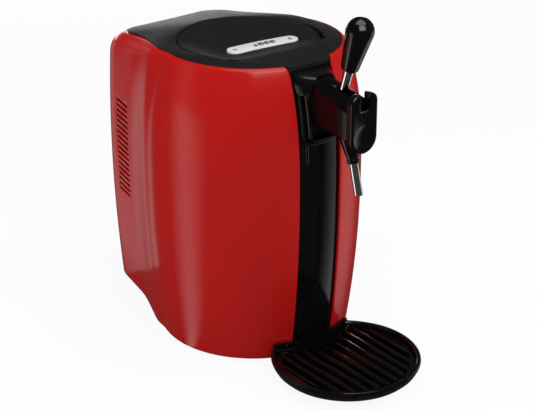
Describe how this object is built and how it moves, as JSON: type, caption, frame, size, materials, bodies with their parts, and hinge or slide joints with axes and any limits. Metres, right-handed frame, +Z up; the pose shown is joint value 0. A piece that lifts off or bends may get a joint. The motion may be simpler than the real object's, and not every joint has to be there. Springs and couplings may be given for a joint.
{
  "type": "mini keg beer dispenser",
  "caption": "Barrel-shaped countertop cooler for a small beer keg, with a hinged top lid, a lever tap on a black front column, a thermoelectric cooler behind and a round lift-off drip tray.",
  "frame": {"origin": "under the middle of the bounding box, on the surface it stands on", "axes": "+Z up, the tap and tray towards -Y, +X to the right of someone facing the back from the tap"},
  "size_m": [0.2734, 0.4949, 0.4667],
  "materials": {
    "red_gloss": "high gloss",
    "black_gloss": "high gloss",
    "black_satin": "fine satin grain",
    "chrome": "polished",
    "brushed_trim": "brushed lengthwise",
    "aluminium": "plain",
    "steel_wire": "plain",
    "foam": "foam",
    "rubber": "matte",
    "grey_plastic": "matte",
    "board_green": "lacquered",
    "ceramic": "plain",
    "lamp": "clear lens",
    "hose_clear": "smooth"
  },
  "bodies": {
    "housing": {"left_side_shell": "red_gloss", "right_side_shell": "red_gloss", "front_column": "black_gloss", "rear_panel": "black_satin", "rear_panel_screw_1": "chrome", "rear_panel_screw_2": "chrome", "rear_panel_screw_3": "chrome", "rear_panel_screw_4": "chrome", "base_plate": "black_satin", "foot_front_left": "rubber", "foot_front_right": "rubber", "foot_rear_left": "rubber", "foot_rear_right": "rubber", "top_cover": "black_satin", "lid_hinge_pin": "chrome", "tap_bezel": "black_gloss", "tap_body": "black_gloss", "tap_front_plate": "black_gloss", "lever_pivot_pin": "chrome", "lever_spring": "steel_wire", "lever_stop_pin": "chrome", "beer_hose": "hose_clear", "nozzle_cone": "black_gloss", "nozzle_tube": "chrome", "keg_well": "aluminium", "keg_pad": "rubber", "insulation_sleeve": "foam", "well_stand": "grey_plastic", "cold_block": "aluminium", "cooling_module": "ceramic", "heat_sink": "aluminium", "fan_frame": "grey_plastic", "power_supply": "grey_plastic", "control_board": "board_green", "switch_frame": "black_satin", "power_inlet": "black_satin"},
    "lid": {"lid": "black_satin", "lid_liner": "grey_plastic", "lid_seal": "rubber", "display_strip": "brushed_trim", "power_light": "lamp", "temperature_light": "lamp"},
    "tap_lever": {"lever_cam": "black_satin", "lever_stem": "chrome", "lever_knob": "black_gloss"},
    "pinch": {"pinch_bar": "grey_plastic"},
    "fan": {"fan_rotor": "black_satin"},
    "switch_rocker": {"power_switch": "black_gloss"},
    "tray": {"drip_tray": "black_gloss"},
    "grate": {"drip_grate": "black_gloss"}
  },
  "joints": [
    {"name": "lid_hinge", "type": "hinge", "parent": "housing", "child": "lid", "pos_m": [0, 0.1335, 0.3825], "axis": [-1, 0, 0], "range_deg": [0, 95]},
    {"name": "lever_turn", "type": "hinge", "parent": "housing", "child": "tap_lever", "pos_m": [0, -0.13302, 0.352], "axis": [1, 0, 0], "range_deg": [0, 55], "stiffness_Nm_per_rad": 0.12, "springref_deg": -34.38},
    {"name": "pinch_lift", "type": "slide", "parent": "housing", "child": "pinch", "axis": [0, 0, 1], "range_m": [0, 0.0047]},
    {"name": "fan_spin", "type": "hinge", "parent": "housing", "child": "fan", "pos_m": [0, 0.229, 0.21], "axis": [0, 1, 0], "continuous": true},
    {"name": "switch_tilt", "type": "hinge", "parent": "housing", "child": "switch_rocker", "pos_m": [-0.028, 0.2422, 0.088], "axis": [-1, 0, 0], "range_deg": [0, 14]},
    {"name": "tray_pull", "type": "slide", "parent": "housing", "child": "tray", "axis": [0, -1, 0], "range_m": [0, 0.06]},
    {"name": "grate_lift", "type": "slide", "parent": "tray", "child": "grate", "axis": [0, 0, 1], "range_m": [0, 0.05]}
  ],
  "couplings": [
    {"joint": "pinch_lift", "follows": "lever_turn", "m_per_rad": 0.0048}
  ]
}
